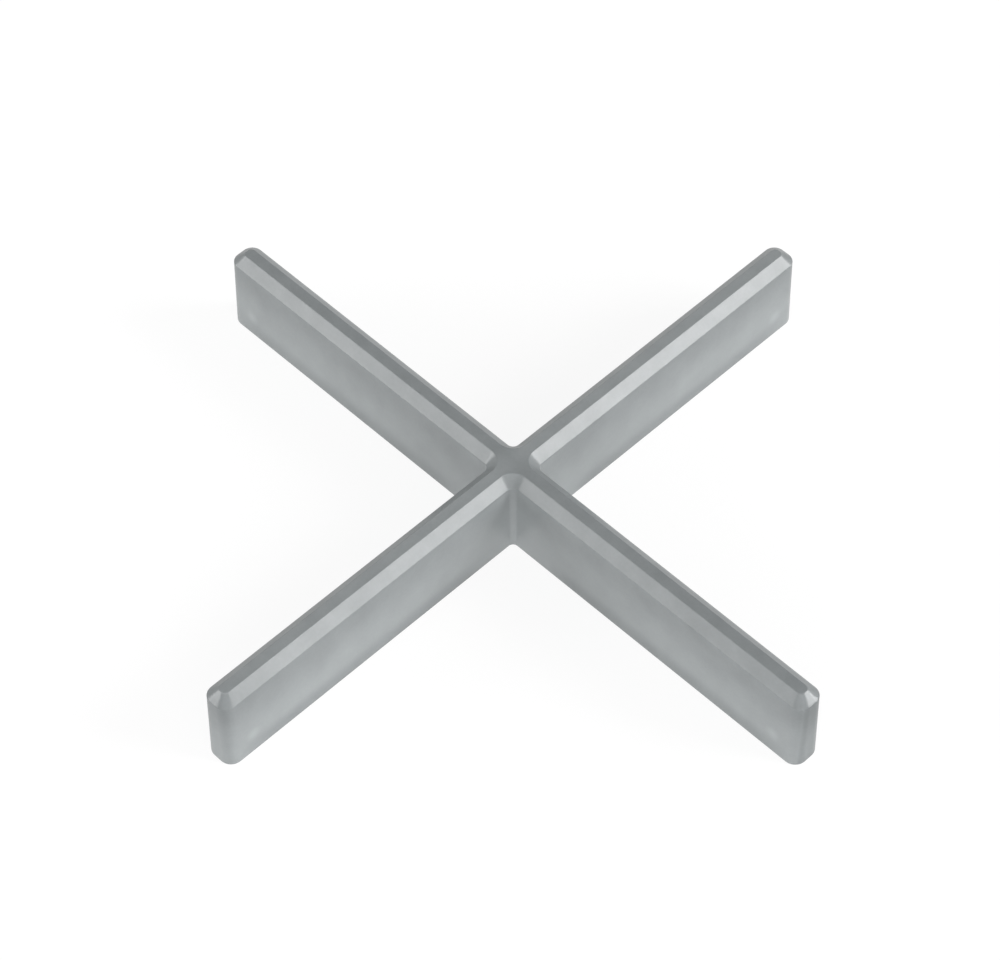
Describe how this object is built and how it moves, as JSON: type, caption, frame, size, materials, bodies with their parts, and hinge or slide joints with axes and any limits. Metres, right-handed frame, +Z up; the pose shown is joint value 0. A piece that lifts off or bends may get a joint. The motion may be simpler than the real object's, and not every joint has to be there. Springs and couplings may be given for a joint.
{
  "type": "tile spacer",
  "caption": "Small moulded plastic cross that holds an even joint between the corners of wall or floor tiles.",
  "frame": {"origin": "centre of the flat underside, under the middle of the hub", "axes": "+Z up, away from the underside; the four legs lie along +X, +Y, -X and -Y"},
  "size_m": [0.0336, 0.0336, 0.0043],
  "materials": {
    "grey_plastic": "moulded, satin"
  },
  "bodies": {
    "root": {"spacer": "grey_plastic"}
  },
  "joints": []
}
